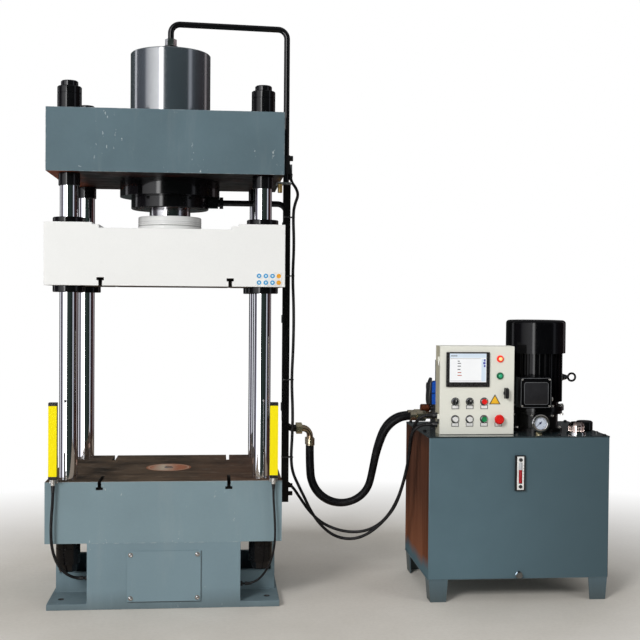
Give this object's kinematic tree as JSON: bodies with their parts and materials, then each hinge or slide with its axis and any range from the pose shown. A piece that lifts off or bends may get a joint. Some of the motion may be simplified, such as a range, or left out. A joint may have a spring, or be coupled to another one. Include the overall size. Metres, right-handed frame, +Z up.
{
  "type": "hydraulic press",
  "caption": "Four-column hydraulic press with a guided slide, top cylinder and light curtain, joined by two hoses to a power unit with its control cabinet",
  "frame": {"origin": "Centre of the four anchor holes on the floor, under the foot plates", "axes": "+Z up, -Y is the operator's side of the press and of the power unit, +X points from the press to the power unit"},
  "size_m": [2.338, 0.753, 2.456],
  "materials": {
    "frame_grey": "satin blue-grey paint",
    "slide_white": "gloss white paint",
    "cabinet_cream": "fine textured cream paint",
    "motor_grey": "satin dark blue-grey paint",
    "bright_chrome": "ground and hard chromed",
    "black_oxide": "turned steel, blackened",
    "machined_steel": "bright machined or plated steel",
    "bronze": "turned brass or bronze",
    "cast_iron": "as cast",
    "safety_yellow": "gloss yellow paint",
    "black_plastic": "moulded black plastic",
    "black_rubber": "smooth hose cover and cable sheath",
    "red_plastic": "moulded red plastic",
    "green_plastic": "moulded green plastic",
    "white_plastic": "moulded white plastic"
  },
  "bodies": {
    "frame": {"table_body": "frame_grey", "base_stand": "frame_grey", "crown": "frame_grey", "columns": "bright_chrome", "column_nuts": "black_oxide", "knockout_disc": "machined_steel", "base_cover": "frame_grey", "cylinder_barrel": "frame_grey", "cylinder_gland": "black_oxide", "oil_pipes": "black_oxide", "port_fittings": "black_oxide", "side_rail": "black_oxide", "rail_clamps": "black_oxide", "limit_switches": "bronze", "light_curtain_posts": "safety_yellow", "light_curtain_fittings": "black_plastic", "rod_hose": "black_rubber", "head_hose": "black_rubber", "hose_fittings": "machined_steel", "rail_cable": "black_rubber", "control_cable": "black_rubber", "left_guard_cable": "black_rubber", "right_guard_cable": "black_rubber", "tank_body": "frame_grey", "tank_lid": "frame_grey", "tank_feet": "frame_grey", "level_gauge": "machined_steel", "drain_plug": "machined_steel", "bell_housing": "motor_grey", "motor_body": "motor_grey", "motor_cowl": "motor_grey", "terminal_box": "motor_grey", "eye_bolt": "machined_steel", "pump": "cast_iron", "valve_manifold": "machined_steel", "solenoid_valves": "black_plastic", "pressure_gauge": "machined_steel", "control_cabinet": "cabinet_cream", "control_plate": "machined_steel"},
    "slide": {"slide_plate": "slide_white", "guide_bushes": "bronze", "wiper_rings": "black_oxide", "ram": "bright_chrome", "piston": "bright_chrome", "ram_flange": "slide_white"},
    "door": {"control_door": "cabinet_cream", "touch_panel": "black_plastic", "door_fittings": "machined_steel"},
    "motor_rotor": {"motor_rotor": "machined_steel"},
    "filler_cap": {"filler_cap": "machined_steel"},
    "relief_knob": {"relief_knob": "bronze"},
    "gauge_needle": {"gauge_needle": "black_plastic"},
    "red_button": {"red_button": "red_plastic"},
    "green_button": {"green_button": "green_plastic"},
    "white_button_left": {"white_button_left": "white_plastic"},
    "white_button_right": {"white_button_right": "white_plastic"},
    "emergency_stop": {"emergency_stop": "red_plastic"},
    "selector_left": {"selector_left": "black_plastic"},
    "selector_right": {"selector_right": "black_plastic"},
    "door_latch": {"door_latch": "black_plastic"}
  },
  "joints": [
    {"name": "slide_travel", "type": "slide", "parent": "frame", "child": "slide", "axis": [0, 0, 1], "range_m": [-0.45, 0.025]},
    {"name": "door_swing", "type": "hinge", "parent": "frame", "child": "door", "pos_m": [1.139, -0.262, 0.69], "axis": [0, 0, -1], "range_deg": [0, 110]},
    {"name": "rotor_spin", "type": "hinge", "parent": "frame", "child": "motor_rotor", "pos_m": [1.603, -0.11, 0.9], "axis": [0, 0, 1], "continuous": true},
    {"name": "needle_sweep", "type": "hinge", "parent": "frame", "child": "gauge_needle", "pos_m": [1.567, -0.31, 0.741], "axis": [0, 1, 0], "range_deg": [0, 270]},
    {"name": "cap_turn", "type": "hinge", "parent": "frame", "child": "filler_cap", "pos_m": [1.742, -0.257, 0.72], "axis": [0, 0, 1], "range_deg": [0, 90]},
    {"name": "relief_turn", "type": "hinge", "parent": "frame", "child": "relief_knob", "pos_m": [1.118, -0.092, 0.7835], "axis": [1, 0, 0], "range_deg": [0, 340]},
    {"name": "red_button_press", "type": "slide", "parent": "door", "child": "red_button", "axis": [0, 1, 0], "range_m": [0, 0.004], "stiffness_N_per_m": 400},
    {"name": "green_button_press", "type": "slide", "parent": "door", "child": "green_button", "axis": [0, 1, 0], "range_m": [0, 0.004], "stiffness_N_per_m": 400},
    {"name": "white_button_left_press", "type": "slide", "parent": "door", "child": "white_button_left", "axis": [0, 1, 0], "range_m": [0, 0.004], "stiffness_N_per_m": 400},
    {"name": "white_button_right_press", "type": "slide", "parent": "door", "child": "white_button_right", "axis": [0, 1, 0], "range_m": [0, 0.004], "stiffness_N_per_m": 400},
    {"name": "emergency_stop_press", "type": "slide", "parent": "door", "child": "emergency_stop", "axis": [0, 1, 0], "range_m": [0, 0.004], "stiffness_N_per_m": 400},
    {"name": "selector_left_turn", "type": "hinge", "parent": "door", "child": "selector_left", "pos_m": [1.209, -0.276, 0.829], "axis": [0, 1, 0], "range_deg": [-45, 45]},
    {"name": "selector_right_turn", "type": "hinge", "parent": "door", "child": "selector_right", "pos_m": [1.271, -0.276, 0.829], "axis": [0, 1, 0], "range_deg": [-45, 45]},
    {"name": "latch_turn", "type": "hinge", "parent": "door", "child": "door_latch", "pos_m": [1.427, -0.276, 0.865], "axis": [0, 1, 0], "range_deg": [0, 90]}
  ]
}
